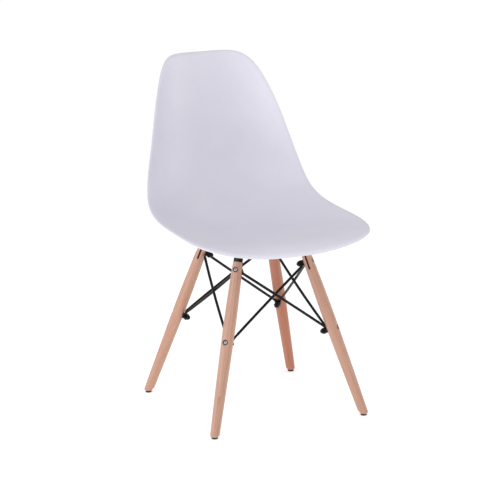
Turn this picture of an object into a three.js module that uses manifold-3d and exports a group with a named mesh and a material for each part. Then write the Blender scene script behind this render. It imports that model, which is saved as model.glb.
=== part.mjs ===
// Dining chair: a one-piece moulded seat and back shell on four turned, slotted beech legs, which are
// tied together by black steel brackets, an upper frame of rods and a crossed pair of braces on each side.
// Millimetres, +Z up. The chair faces -Y, and +X is its own left. The origin is on the floor, under the
// middle of the chair's overall width and depth.

import * as THREE from 'three';
import { NURBSCurve } from 'three/addons/curves/NURBSCurve.js';
import { mergeVertices } from 'three/addons/utils/BufferGeometryUtils.js';
import Module from 'manifold-3d';

const wasm = await Module();
wasm.setup();

// ---------------------------------------------------------------------------------------------------
// Driving dimensions
// ---------------------------------------------------------------------------------------------------

const CLEARANCE = 0.3; // gap left between two pieces that touch

// Seat shell. Its centre line runs from the front lip, over the seat and up the back. A station sets one
// control point of that line: how far back it is from the middle of the legs, its height above the seat
// reference or below the back's top, how far the shell is wider than its nominal width on each side, and
// how far its sides rise above the centre line.
const SEAT_HEIGHT = 440; // seat reference plane above the floor
const BACK_HEIGHT = 382; // top edge of the back above the seat reference
const SHELL_WIDTH = 472; // nominal width of the shell
const SHELL_WALL = 4.5;
const SHELL_EDGE_WALL = 3.3; // the wall at the edge of the lip
const SHELL_STATIONS = [
  { place: 'front lip', back: -228, height: SEAT_HEIGHT - 19, wider: 15, rise: -4 },
  { place: 'front edge', back: -226, height: SEAT_HEIGHT + 12, wider: 18, rise: 3 },
  { place: 'thigh roll', back: -174, height: SEAT_HEIGHT + 11, wider: 16, rise: 15 },
  { place: 'seat front', back: -75, height: SEAT_HEIGHT - 1, wider: 1, rise: 32 },
  { place: 'seat hollow', back: 49, height: SEAT_HEIGHT - 15, wider: -2, rise: 46 },
  { place: 'seat rear', back: 157, height: SEAT_HEIGHT, wider: -14, rise: 55 },
  { place: 'lumbar curve', back: 231, height: SEAT_HEIGHT + 72, wider: -27, rise: 74 },
  { place: 'mid back', back: 276, height: SEAT_HEIGHT + BACK_HEIGHT - 189, wider: -47, rise: 102 },
  { place: 'top edge', back: 304, height: SEAT_HEIGHT + BACK_HEIGHT, wider: -58, rise: 116 },
];
const FRONT_CORNER_POWER = 3; // superellipse exponent of the seat's front corners
const BACK_CORNER_POWER = 6.2; // superellipse exponent of the back's top corners
const SIDE_RISE_POWER = 2.6; // 2 is an even dish, more keeps the middle flatter
const LIP_WIDTH = 13; // width of the rolled lip, all round
const LIP_DROP = 6; // how far the rolled lip turns down
const LIP_ROUNDNESS = 0.85; // 1 would end the lip square to the shell
const LIP_ROWS = [0.4, 0.75, 1]; // rows of points in the lip, as shares of its band
const SHELL_COLUMNS = 16; // an even number, as is the next
const SHELL_ROWS = 28;

// Legs. Half spacings are of the leg axes, at the floor and at the wood's top end.
const LEG_FOOT_HALF_SPACING_X = 198.8;
const LEG_FOOT_HALF_SPACING_Y = 194.3;
const LEG_TOP_HALF_SPACING_X = 89.5;
const LEG_TOP_HALF_SPACING_Y = 94.2;
const LEG_TOP_BELOW_SEAT = 51.2; // the wood's top end below the seat reference
const LEG_FOOT_DIAMETER = 22;
const LEG_CALF_DIAMETER = 26;
const LEG_CALF_UP = 115; // along the leg, from the floor
const LEG_BELLY_DIAMETER = 29;
const LEG_BELLY_UP = 255;
const LEG_SHOULDER_DIAMETER = 26.4;
const LEG_SHOULDER_DOWN = 50; // along the leg, from its top end
const LEG_TOP_DIAMETER = 23.4;
const LEG_TOP_CHAMFER = 1;
const LEG_KERF_DEPTH = 37;
const LEG_PROFILE_STEPS = 8;
const LEG_SIDES = 16;
const FOOT_CHAMFER_DEGREES = 50;
const FOOT_END_DIAMETER = 16.6;

// Glides under the legs
const GLIDE_HEIGHT = 4.4;
const GLIDE_DIAMETER = 15.6;
const GLIDE_EDGE_RADIUS = 1.6;
const GLIDE_SPIKE_DIAMETER = 3;
const GLIDE_SPIKE_LENGTH = 15;

// Leg bolts and their cap nuts
const UPPER_BOLT_DOWN = 18.5; // along the leg, from its top end
const LOWER_BOLT_UP = 225; // along the leg, from the floor
const BOLT_DIAMETER = 6;
const BOLT_HEAD_DIAMETER = 10.5;
const BOLT_HEAD_HEIGHT = 3.3;
const BOLT_HEAD_RIM_SHARE = 0.4; // of a head's height, straight up from its seat
const BOLT_HEAD_FLAT_SHARE = 0.7; // of a head's diameter, at its top
const BOLT_TIP_CHAMFER = 0.6;
const BOLT_SOCKET_ACROSS_FLATS = 4;
const BOLT_SOCKET_DEPTH = 2.1;
const BOLT_SHORT_OF_BORE = 2; // from a bolt's tip to the end of its nut's bore
const COUNTERBORE_DIAMETER = 14;
const COUNTERBORE_DEPTH = 6.5; // below the leg's surface
const NUT_ACROSS_FLATS = 14;
const NUT_HEX_HEIGHT = 6;
const NUT_HEIGHT = 13;
const NUT_DOME_DIAMETER = 13;
const NUT_DOME_OVERLAP = 0.5; // of the dome's foot with the hexagon
const NUT_BORE_DEPTH = 8;

// Steel brackets, one in the kerf of each leg, bent inwards to a tab under the seat
const BRACKET_WIDTH = 22;
const BRACKET_THICKNESS = 4;
const BRACKET_BEND_RADIUS = 5; // to the middle of the plate
const BRACKET_TAB_LENGTH = 31;
const BRACKET_TAB_TOP_BELOW_SEAT = 26;
const SEAT_SCREW_FROM_BEND = 17;

// Upper frame rods between the brackets
const FRAME_ROD_DIAMETER = 7;
const FRAME_ROD_BELOW_TAB = 10; // axis below the top of the tabs
const FRAME_ROD_END_GAP = 1.1; // between the mitred ends of the two rods at a bracket

// Crossed braces
const BRACE_DIAMETER = 6.6;
const BRACE_EYE_DIAMETER = 14;
const BRACE_EYE_THICKNESS = 2.5;
const BRACE_NECK_WIDTH = 8.6;
const BRACE_FLAT_LENGTH = 8; // from the bolt to where the bend starts
const BRACE_NECK_THINNER = 0.1; // than the eye, on each side
const BRACE_NECK_START = 1.4; // beyond the edge of the eye's hole
const BRACE_BEND_LENGTH = 4;
const BRACE_CROSSING_GAP = 0.6;
const BRACE_SIDES = 8;
const BRACE_SPAN_STEPS = 5;
const BRACE_BEND_STEPS = 3;

// Rubber mounts, their threaded inserts, and the screws and washers that hold the shell
const MOUNT_DIAMETER = 30;
const MOUNT_LARGEST_HEIGHT = 28;
const INSERT_DIAMETER = 13;
const INSERT_HEIGHT = 7;
const SCREW_HEAD_DIAMETER = 11;
const SCREW_HEAD_HEIGHT = 3.3;
const WASHER_DIAMETER = 16;
const WASHER_THICKNESS = 1.5;

const CUT_PAST = 1; // how far a cutting shape reaches past the face that it cuts

// Sides of the round pieces and of the round holes
const ROUND_SIDES = 12;
const HOLE_SIDES = 8;

// ---------------------------------------------------------------------------------------------------
// Values that follow from the driving dimensions
// ---------------------------------------------------------------------------------------------------

const LEG_TOP_HEIGHT = SEAT_HEIGHT - LEG_TOP_BELOW_SEAT;
const LEG_LEAN_OUT = new THREE.Vector2(
  LEG_FOOT_HALF_SPACING_X - LEG_TOP_HALF_SPACING_X,
  LEG_FOOT_HALF_SPACING_Y - LEG_TOP_HALF_SPACING_Y,
);
const LEG_LEAN = Math.atan2(LEG_LEAN_OUT.length(), LEG_TOP_HEIGHT);
const LEG_LENGTH = Math.hypot(LEG_LEAN_OUT.length(), LEG_TOP_HEIGHT);
const UPPER_BOLT_UP = LEG_LENGTH - UPPER_BOLT_DOWN;
const FOOT_PLANE = GLIDE_HEIGHT + CLEARANCE;
// Where the leg's axis crosses the foot plane, outwards from where it meets the floor
const FOOT_CENTRE = -FOOT_PLANE * Math.tan(LEG_LEAN);
const BOLT_HOLE_RADIUS = BOLT_DIAMETER / 2 + CLEARANCE;
const TAB_TOP = SEAT_HEIGHT - BRACKET_TAB_TOP_BELOW_SEAT;
const TAB_BEND_UP = (TAB_TOP - BRACKET_THICKNESS / 2) / Math.cos(LEG_LEAN);
const EYE_PITCH = BRACE_EYE_THICKNESS + CLEARANCE;
const FRAME_ROD_OFFSET = FRAME_ROD_DIAMETER * Math.SQRT1_2 + FRAME_ROD_END_GAP / 2; // from a bracket's middle

// ---------------------------------------------------------------------------------------------------
// Materials
// ---------------------------------------------------------------------------------------------------

const shellPlastic = new THREE.MeshStandardMaterial({ color: 0xd9d7e0, roughness: 0.45, metalness: 0 });
const beech = new THREE.MeshStandardMaterial({ color: 0xcfa07e, roughness: 0.5, metalness: 0 });
const blackSteel = new THREE.MeshStandardMaterial({ color: 0x17161a, roughness: 0.4, metalness: 0.6 });
const zincSteel = new THREE.MeshStandardMaterial({ color: 0xc4c4c6, roughness: 0.3, metalness: 1 });
const blackPlastic = new THREE.MeshStandardMaterial({ color: 0x141416, roughness: 0.6, metalness: 0 });
const blackRubber = new THREE.MeshStandardMaterial({ color: 0x1c1c1c, roughness: 0.9, metalness: 0 });

// ---------------------------------------------------------------------------------------------------
// Solids
// ---------------------------------------------------------------------------------------------------

// A closed geometry as a solid that can be joined and cut
function toSolid(geometry) {
  const bare = geometry.clone();
  bare.deleteAttribute('normal');
  bare.deleteAttribute('uv');
  const merged = mergeVertices(bare, 1e-4);
  const corners = merged.index.array;
  const triangles = [];
  for (let i = 0; i < corners.length; i += 3) {
    const [a, b, c] = corners.slice(i, i + 3);
    if (a !== b && b !== c && c !== a) triangles.push(a, b, c);
  }
  const mesh = new wasm.Mesh({
    numProp: 3,
    vertProperties: new Float32Array(merged.attributes.position.array),
    triVerts: new Uint32Array(triangles),
  });
  return new wasm.Manifold(mesh);
}

function toGeometry(solid) {
  const mesh = solid.getMesh();
  const geometry = new THREE.BufferGeometry();
  geometry.setAttribute('position', new THREE.BufferAttribute(mesh.vertProperties, mesh.numProp));
  geometry.setIndex(new THREE.BufferAttribute(mesh.triVerts, 1));
  return geometry;
}

function cut(geometry, ...tools) {
  const whole = toSolid(geometry);
  return toGeometry(tools.reduce((solid, tool) => solid.subtract(toSolid(tool)), whole));
}

function join(geometry, ...others) {
  const first = toSolid(geometry);
  return toGeometry(others.reduce((solid, other) => solid.add(toSolid(other)), first));
}

function common(geometry, other) {
  return toGeometry(toSolid(geometry).intersect(toSolid(other)));
}

// A solid of revolution about +Z; each point is [radius, height], from the bottom to the top
function turned(points, sides = ROUND_SIDES) {
  const outline = points.map(([radius, height]) => new THREE.Vector2(radius, height));
  return new THREE.LatheGeometry(outline, sides).rotateX(Math.PI / 2);
}

function cylinder(radius, bottom, top, sides = ROUND_SIDES) {
  const height = top - bottom;
  return new THREE.CylinderGeometry(radius, radius, height, sides)
    .rotateX(Math.PI / 2)
    .translate(0, 0, bottom + height / 2);
}

function hexPrism(acrossFlats, bottom, top) {
  return cylinder(acrossFlats / Math.sqrt(3), bottom, top, 6);
}

function box(low, high) {
  const size = new THREE.Vector3().subVectors(high, low);
  return new THREE.BoxGeometry(size.x, size.y, size.z)
    .translate(low.x + size.x / 2, low.y + size.y / 2, low.z + size.z / 2);
}

// Turns a shape made about +Z so that it points outwards from a leg, square to the leg's axis
function pointOut(geometry) {
  return geometry.rotateY(Math.PI / 2);
}

// Turns a shape made about the vertical so that it stands upright in a leg's own frame
function standUpright(geometry) {
  return geometry.rotateY(LEG_LEAN);
}

// ---------------------------------------------------------------------------------------------------
// Seat shell
// ---------------------------------------------------------------------------------------------------

function stationCurve(toPoint) {
  const degree = 3;
  const points = SHELL_STATIONS.map((station) => {
    const [x, y, z] = toPoint(station);
    return new THREE.Vector4(x, y, z, 1);
  });
  const spans = points.length - degree;
  const inner = Array.from({ length: spans - 1 }, (_, i) => (i + 1) / spans);
  const knots = [...Array(degree + 1).fill(0), ...inner, ...Array(degree + 1).fill(1)];
  return new NURBSCurve(degree, knots, points);
}

const shellSpine = stationCurve((s) => [0, s.back, s.height]);
const shellSection = stationCurve((s) => [SHELL_WIDTH / 2 + s.wider, s.rise, 0]);

// The shell's outline is a superellipse, with its own corner power at the front and at the back
function outlineAt(angle) {
  const [x, y] = [Math.cos(angle), Math.sin(angle)];
  const power = y < 0 ? FRONT_CORNER_POWER : BACK_CORNER_POWER;
  const reach = (Math.abs(x) ** power + Math.abs(y) ** power) ** (-1 / power);
  return [x * reach, y * reach];
}

// Maps a square of side 2 onto the inside of a circle: the direction from the middle, and how far out
function toCircle(a, b) {
  const x = a * Math.sqrt(1 - (b * b) / 2);
  const y = b * Math.sqrt(1 - (a * a) / 2);
  return { angle: Math.atan2(y, x), out: Math.hypot(x, y) };
}

// A point of the sitter's side. across and along run from -1 to 1, along from the front lip to the top edge;
// inLip is 0 where the rolled lip starts and 1 at its edge.
function shellPoint([across, along], inLip) {
  const t = THREE.MathUtils.clamp((along + 1) / 2, 0, 1);
  const centre = shellSpine.getPoint(t);
  const tangent = shellSpine.getTangent(t);
  const { x: halfWidth, y: rise } = shellSection.getPoint(t);
  const lipFall = (share) => 1 - Math.sqrt(1 - LIP_ROUNDNESS * share * share);
  const lift = rise * Math.abs(across) ** SIDE_RISE_POWER - (LIP_DROP * lipFall(inLip)) / lipFall(1);
  return new THREE.Vector3(
    across * halfWidth,
    centre.y - tangent.z * lift,
    centre.z + tangent.y * lift,
  );
}

function scaled(point, scale) {
  return point.map((value) => value * scale);
}

// The share of the way out to the outline that its rolled lip takes, so that the lip has one width all round
function lipShare(angle) {
  const step = 0.01;
  const test = 0.1;
  const edge = shellPoint(outlineAt(angle), 0);
  const [before, after] = [-step, step].map((turn) => shellPoint(outlineAt(angle + turn), 0));
  const alongEdge = after.sub(before).normalize();
  const inwards = shellPoint(scaled(outlineAt(angle), 1 - test), 0).sub(edge).projectOnPlane(alongEdge);
  return (test * LIP_WIDTH) / inwards.length();
}

// The sitter's side: a grid, and round its edge the rows of the rolled lip
function shellFace() {
  const columns = SHELL_COLUMNS;
  const rows = SHELL_ROWS;
  const at = (row, column) => row * (columns + 1) + column;
  const across = (column) => (2 * column) / columns - 1;
  // Rows are halfway between even steps of the spine's length and of its parameter, so they lie closer
  // together at the front, where the shell turns down
  const along = (row) => row / rows + shellSpine.getUtoTmapping(row / rows) - 1;
  const points = [];
  const quads = [];
  const inLips = [];
  for (let row = 0; row <= rows; row += 1) {
    for (let column = 0; column <= columns; column += 1) {
      const { angle, out } = toCircle(across(column), along(row));
      const inside = 1 - lipShare(angle) * out * out;
      points.push(shellPoint(scaled(outlineAt(angle), out * inside), 0));
      inLips.push(0);
    }
  }
  for (let row = 0; row < rows; row += 1) {
    for (let column = 0; column < columns; column += 1) {
      const quad = [at(row, column), at(row, column + 1), at(row + 1, column + 1), at(row + 1, column)];
      const otherDiagonal = (row < rows / 2) !== (column < columns / 2);
      quads.push(otherDiagonal ? [...quad.slice(1), quad[0]] : quad);
    }
  }

  const steps = (count) => Array.from({ length: count }, (_, i) => i);
  const loop = [
    ...steps(columns).map((i) => [i, 0]),
    ...steps(rows).map((i) => [columns, i]),
    ...steps(columns).map((i) => [columns - i, rows]),
    ...steps(rows).map((i) => [0, rows - i]),
  ];
  let edge = loop.map(([column, row]) => at(row, column));
  for (const inLip of LIP_ROWS) {
    const outerEdge = loop.map(([column, row]) => {
      const { angle } = toCircle(across(column), along(row));
      points.push(shellPoint(scaled(outlineAt(angle), 1 - lipShare(angle) * (1 - inLip)), inLip));
      inLips.push(inLip);
      return points.length - 1;
    });
    outerEdge.forEach((outer, i) => {
      const next = (i + 1) % outerEdge.length;
      quads.push([edge[i], outer, outerEdge[next], edge[next]]);
    });
    edge = outerEdge;
  }
  return { points, quads, edge, inLips };
}

// The closed body between two copies of the sitter's side, moved along its normals. In the lip, its thickness
// falls to the share that the shell's wall has at its edge.
function shellBody(above, below) {
  const { points, quads, edge, inLips } = shellFace();
  const faceIndex = quads.flatMap(([a, b, c, d]) => [a, b, c, a, c, d]);
  const face = new THREE.BufferGeometry().setFromPoints(points);
  face.setIndex(faceIndex);
  face.computeVertexNormals();
  const normals = points.map((_, i) => new THREE.Vector3().fromBufferAttribute(face.attributes.normal, i));
  const thickness = inLips.map((inLip) => THREE.MathUtils.lerp(1, SHELL_EDGE_WALL / SHELL_WALL, inLip));
  const moved = (offset) => points.map((point, i) => (
    point.clone().addScaledVector(normals[i], offset * thickness[i])
  ));

  const count = points.length;
  const index = [...faceIndex];
  for (let i = 0; i < faceIndex.length; i += 3) {
    index.push(faceIndex[i] + count, faceIndex[i + 2] + count, faceIndex[i + 1] + count);
  }
  edge.forEach((here, i) => {
    const next = edge[(i + 1) % edge.length];
    index.push(here, here + count, next + count, here, next + count, next);
  });
  const body = new THREE.BufferGeometry().setFromPoints([...moved(above), ...moved(-below)]);
  body.setIndex(index);
  return body;
}

// ---------------------------------------------------------------------------------------------------
// One leg's pieces, each in the leg's own frame: the origin is where its axis meets the floor, +Z runs up
// the axis and +X points outwards, square to it
// ---------------------------------------------------------------------------------------------------

const legOutline = new THREE.SplineCurve([
  new THREE.Vector2(LEG_FOOT_DIAMETER / 2, 0),
  new THREE.Vector2(LEG_CALF_DIAMETER / 2, LEG_CALF_UP),
  new THREE.Vector2(LEG_BELLY_DIAMETER / 2, LEG_BELLY_UP),
  new THREE.Vector2(LEG_SHOULDER_DIAMETER / 2, LEG_LENGTH - LEG_SHOULDER_DOWN),
  new THREE.Vector2(LEG_TOP_DIAMETER / 2, LEG_LENGTH),
]).getPoints(LEG_PROFILE_STEPS);

function legRadiusAt(up) {
  const next = legOutline.findIndex((point) => point.y >= up);
  const [low, high] = [legOutline[next - 1], legOutline[next]];
  return THREE.MathUtils.mapLinear(up, low.y, high.y, low.x, high.x);
}

function counterboreSeatAt(up) {
  return legRadiusAt(up) - COUNTERBORE_DEPTH;
}

function makeLeg() {
  const below = LEG_FOOT_DIAMETER / 2;
  const sides = legOutline.slice(0, -1).map((point) => [point.x, point.y]);
  const blank = turned([
    [0, -below],
    [LEG_FOOT_DIAMETER / 2, -below],
    ...sides,
    [LEG_TOP_DIAMETER / 2, LEG_LENGTH - LEG_TOP_CHAMFER],
    [LEG_TOP_DIAMETER / 2 - LEG_TOP_CHAMFER, LEG_LENGTH],
    [0, LEG_LENGTH],
  ], LEG_SIDES);

  const chamferRun = LEG_BELLY_DIAMETER;
  const chamferRise = chamferRun * Math.tan(THREE.MathUtils.degToRad(FOOT_CHAMFER_DEGREES));
  const footEnvelope = turned([
    [0, FOOT_PLANE],
    [FOOT_END_DIAMETER / 2, FOOT_PLANE],
    [FOOT_END_DIAMETER / 2 + chamferRun, FOOT_PLANE + chamferRise],
    [FOOT_END_DIAMETER / 2 + LEG_LENGTH, FOOT_PLANE + chamferRise],
    [FOOT_END_DIAMETER / 2 + LEG_LENGTH, FOOT_PLANE + 2 * LEG_LENGTH],
    [0, FOOT_PLANE + 2 * LEG_LENGTH],
  ], LEG_SIDES).translate(FOOT_CENTRE, 0, 0);

  const spikeHole = cylinder(
    GLIDE_SPIKE_DIAMETER / 2 + CLEARANCE,
    FOOT_PLANE - CUT_PAST,
    GLIDE_HEIGHT + GLIDE_SPIKE_LENGTH + 2 * CLEARANCE,
    HOLE_SIDES,
  ).translate(FOOT_CENTRE, 0, 0);

  const kerfHalf = BRACKET_THICKNESS / 2 + CLEARANCE;
  const kerf = box(
    new THREE.Vector3(-kerfHalf, -LEG_BELLY_DIAMETER, LEG_LENGTH - LEG_KERF_DEPTH),
    new THREE.Vector3(kerfHalf, LEG_BELLY_DIAMETER, LEG_LENGTH + LEG_TOP_DIAMETER),
  );

  const through = LEG_BELLY_DIAMETER;
  const boltHoles = [UPPER_BOLT_UP, LOWER_BOLT_UP].flatMap((up) => [
    pointOut(cylinder(BOLT_HOLE_RADIUS, -through, through, HOLE_SIDES)).translate(0, 0, up),
    pointOut(cylinder(COUNTERBORE_DIAMETER / 2, counterboreSeatAt(up), through)).translate(0, 0, up),
  ]);

  const trimmed = common(blank, standUpright(footEnvelope));
  return cut(trimmed, standUpright(spikeHole), kerf, ...boltHoles);
}

function makeGlide() {
  const radius = GLIDE_DIAMETER / 2;
  const spike = GLIDE_SPIKE_DIAMETER / 2;
  const edgeSteps = 3;
  const corner = Array.from({ length: edgeSteps + 1 }, (_, i) => {
    const angle = (i / edgeSteps) * (Math.PI / 2);
    return [
      radius - GLIDE_EDGE_RADIUS * (1 - Math.sin(angle)),
      GLIDE_EDGE_RADIUS * (1 - Math.cos(angle)),
    ];
  });
  const glide = turned([
    [0, 0],
    ...corner,
    [radius, GLIDE_HEIGHT],
    [spike, GLIDE_HEIGHT],
    [spike, GLIDE_HEIGHT + GLIDE_SPIKE_LENGTH - GLIDE_SPIKE_DIAMETER],
    [0, GLIDE_HEIGHT + GLIDE_SPIKE_LENGTH],
  ], ROUND_SIDES).translate(FOOT_CENTRE, 0, 0);
  return toGeometry(toSolid(standUpright(glide)));
}

// The bracket's plate stands in the kerf, and its tab lies level, pointing at the middle of the chair
function makeBracket() {
  const half = BRACKET_THICKNESS / 2;
  const bend = Math.PI / 2 - LEG_LEAN;
  const bendSetback = BRACKET_BEND_RADIUS * Math.tan(bend / 2);
  const bendStart = TAB_BEND_UP - bendSetback;
  const bottom = LEG_LENGTH - LEG_KERF_DEPTH + CLEARANCE;
  const inwards = new THREE.Vector2(-Math.cos(LEG_LEAN), Math.sin(LEG_LEAN));
  const square = new THREE.Vector2(Math.sin(LEG_LEAN), Math.cos(LEG_LEAN));
  const tabEnd = new THREE.Vector2(0, TAB_BEND_UP).addScaledVector(inwards, BRACKET_TAB_LENGTH);
  const endTop = tabEnd.clone().addScaledVector(square, half);
  const endBottom = tabEnd.clone().addScaledVector(square, -half);
  const outline = new THREE.Shape();
  outline.moveTo(half, bottom);
  outline.absarc(-BRACKET_BEND_RADIUS, bendStart, BRACKET_BEND_RADIUS + half, 0, bend, false);
  outline.lineTo(endTop.x, endTop.y);
  outline.lineTo(endBottom.x, endBottom.y);
  outline.absarc(-BRACKET_BEND_RADIUS, bendStart, BRACKET_BEND_RADIUS - half, bend, 0, true);
  outline.lineTo(-half, bottom);
  outline.closePath();
  const strip = new THREE.ExtrudeGeometry(outline, {
    depth: BRACKET_WIDTH,
    bevelEnabled: false,
    curveSegments: 6,
  }).rotateX(Math.PI / 2).translate(0, BRACKET_WIDTH / 2, 0);
  const boltHole = pointOut(cylinder(BOLT_HOLE_RADIUS, -BRACKET_WIDTH, BRACKET_WIDTH, HOLE_SIDES))
    .translate(0, 0, UPPER_BOLT_UP);
  const screwHole = standUpright(cylinder(BOLT_HOLE_RADIUS, -BRACKET_WIDTH, BRACKET_WIDTH, HOLE_SIDES))
    .translate(...seatScrewPlace().toArray());
  return cut(strip, boltHole, screwHole);
}

// Where a seat screw's axis meets the middle of the tab, in the leg's own frame
function seatScrewPlace() {
  return new THREE.Vector3(
    -Math.cos(LEG_LEAN) * SEAT_SCREW_FROM_BEND,
    0,
    TAB_BEND_UP + Math.sin(LEG_LEAN) * SEAT_SCREW_FROM_BEND,
  );
}

// A button head on a plain shank, made about +Z with the head's seat at zero
function makeBolt(headDiameter, headHeight, length) {
  const head = headDiameter / 2;
  const shank = BOLT_DIAMETER / 2;
  const blank = turned([
    [0, -length],
    [shank - BOLT_TIP_CHAMFER, -length],
    [shank, -length + BOLT_TIP_CHAMFER],
    [shank, 0],
    [head, 0],
    [head, headHeight * BOLT_HEAD_RIM_SHARE],
    [head * BOLT_HEAD_FLAT_SHARE, headHeight],
    [0, headHeight],
  ]);
  const socketBottom = headHeight - BOLT_SOCKET_DEPTH;
  return cut(blank, hexPrism(BOLT_SOCKET_ACROSS_FLATS, socketBottom, headHeight + CUT_PAST));
}

// Where the stack of brace eyes on a leg's inner side puts the middle of one eye and the nut's face
function eyeOffset(up, layer) {
  return -(legRadiusAt(up) + CLEARANCE + BRACE_EYE_THICKNESS / 2 + layer * EYE_PITCH);
}

function nutFace(up) {
  return -(legRadiusAt(up) + CLEARANCE + 2 * EYE_PITCH);
}

function makeLegBolt(up) {
  const seat = counterboreSeatAt(up) + CLEARANCE;
  const length = seat - nutFace(up) + NUT_BORE_DEPTH - BOLT_SHORT_OF_BORE;
  return pointOut(makeBolt(BOLT_HEAD_DIAMETER, BOLT_HEAD_HEIGHT, length)).translate(seat, 0, up);
}

function makeCapNut(up) {
  const dome = NUT_DOME_DIAMETER / 2;
  const domeBase = NUT_HEX_HEIGHT - NUT_DOME_OVERLAP;
  const domeHeight = NUT_HEIGHT - domeBase;
  const arcSteps = 4;
  const arc = Array.from({ length: arcSteps + 1 }, (_, i) => {
    const angle = (i / arcSteps) * (Math.PI / 2);
    return [dome * Math.cos(angle), domeBase + domeHeight * Math.sin(angle)];
  });
  arc.at(-1)[0] = 0;
  const cap = turned([[0, domeBase], ...arc]);
  const nut = join(hexPrism(NUT_ACROSS_FLATS, 0, NUT_HEX_HEIGHT), cap);
  const drilled = cut(nut, cylinder(BOLT_HOLE_RADIUS, -CUT_PAST, NUT_BORE_DEPTH, HOLE_SIDES));
  return drilled.rotateY(-Math.PI / 2).translate(nutFace(up), 0, up);
}

// Height above the tab's top of each piece of the seat fixing
const MOUNT_BOTTOM = CLEARANCE;
const INSERT_BOTTOM = MOUNT_BOTTOM;
const INSERT_TOP = INSERT_BOTTOM + INSERT_HEIGHT;
const WASHER_TOP = -BRACKET_THICKNESS - CLEARANCE;
const SCREW_SEAT = WASHER_TOP - WASHER_THICKNESS - CLEARANCE;

function atSeatScrew(geometry) {
  return standUpright(geometry.translate(0, 0, BRACKET_THICKNESS / 2))
    .translate(...seatScrewPlace().toArray());
}

function makeWasher() {
  const bottom = WASHER_TOP - WASHER_THICKNESS;
  const disc = cylinder(WASHER_DIAMETER / 2, bottom, WASHER_TOP);
  const hole = cylinder(BOLT_HOLE_RADIUS, bottom - CUT_PAST, WASHER_TOP + CUT_PAST, HOLE_SIDES);
  return atSeatScrew(cut(disc, hole));
}

function makeSeatScrew() {
  const length = INSERT_TOP - SCREW_SEAT - CLEARANCE;
  const screw = makeBolt(SCREW_HEAD_DIAMETER, SCREW_HEAD_HEIGHT, length).rotateX(Math.PI);
  return atSeatScrew(screw.translate(0, 0, SCREW_SEAT));
}

function makeInsert() {
  const barrel = cylinder(INSERT_DIAMETER / 2, INSERT_BOTTOM, INSERT_TOP);
  const bore = cylinder(BOLT_HOLE_RADIUS, INSERT_BOTTOM - CUT_PAST, INSERT_TOP + CUT_PAST, HOLE_SIDES);
  return atSeatScrew(cut(barrel, bore));
}

// The rubber block under the shell, whose top takes the shell's own shape; the leg's place sets that shape
function makeMount(placement, shellKeepOut) {
  const block = cylinder(MOUNT_DIAMETER / 2, MOUNT_BOTTOM, MOUNT_LARGEST_HEIGHT, LEG_SIDES);
  const pocketRadius = INSERT_DIAMETER / 2 + CLEARANCE;
  const pocket = cylinder(pocketRadius, MOUNT_BOTTOM - CUT_PAST, INSERT_TOP + CLEARANCE);
  const placed = atSeatScrew(cut(block, pocket)).applyMatrix4(placement);
  return cut(placed, shellKeepOut).applyMatrix4(placement.clone().invert());
}

// ---------------------------------------------------------------------------------------------------
// Rods between the legs, in the chair's frame
// ---------------------------------------------------------------------------------------------------

// A closed tube through rings of points; rings turn counter-clockwise about the way they run
function loft(rings) {
  const sides = rings[0].length;
  const points = rings.flat();
  const index = [];
  for (let ring = 0; ring + 1 < rings.length; ring += 1) {
    for (let side = 0; side < sides; side += 1) {
      const next = (side + 1) % sides;
      const [a, b] = [ring * sides + side, ring * sides + next];
      index.push(a, b, b + sides, a, b + sides, a + sides);
    }
  }
  const last = (rings.length - 1) * sides;
  for (let side = 1; side + 1 < sides; side += 1) {
    index.push(0, side + 1, side);
    index.push(last, last + side, last + side + 1);
  }
  const geometry = new THREE.BufferGeometry().setFromPoints(points);
  geometry.setIndex(index);
  return geometry;
}

// One end of a brace: the centre of its eye and the eye's normal
function braceEnd(leg, up, layer) {
  const centre = new THREE.Vector3(eyeOffset(up, layer), 0, up).applyMatrix4(leg.matrix);
  const normal = new THREE.Vector3(1, 0, 0).transformDirection(leg.matrix);
  return { centre, normal };
}

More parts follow.
